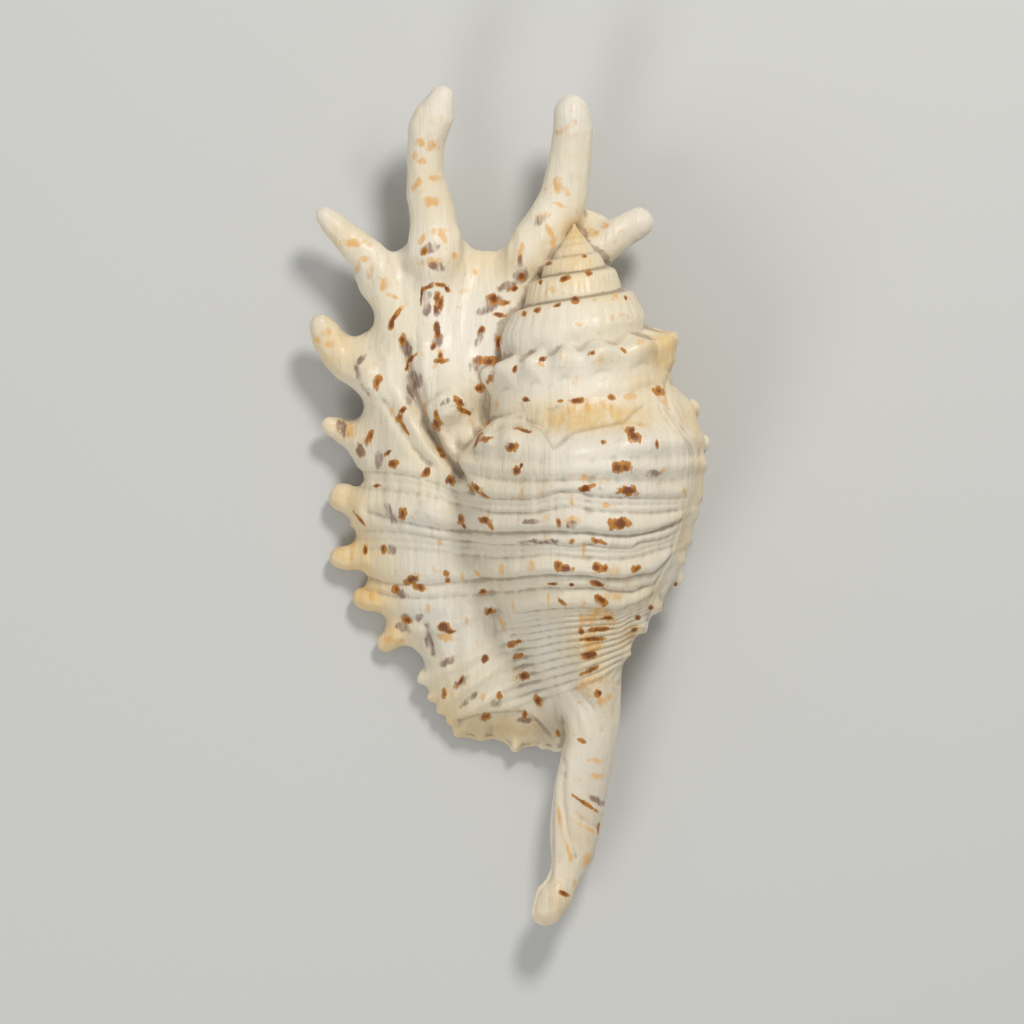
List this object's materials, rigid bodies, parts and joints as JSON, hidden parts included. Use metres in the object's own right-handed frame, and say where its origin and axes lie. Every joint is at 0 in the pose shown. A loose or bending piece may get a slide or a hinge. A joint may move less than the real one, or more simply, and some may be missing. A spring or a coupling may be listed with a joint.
{
  "type": "spider conch shell",
  "caption": "Natural sea shell with a coiled pointed spire, a flared lip that ends in curved fingers, and a long front canal.",
  "frame": {"origin": "middle of the shell's bounding box in plan, on the surface that it rests on", "axes": "+Y towards the end of the spire and the long fingers, +X away from the flared lip, +Z out of the back"},
  "size_m": [0.0672, 0.142, 0.0396],
  "materials": {
    "shell": "glossy, cream with brown marks"
  },
  "bodies": {
    "root": {"shell": "shell"}
  },
  "joints": []
}
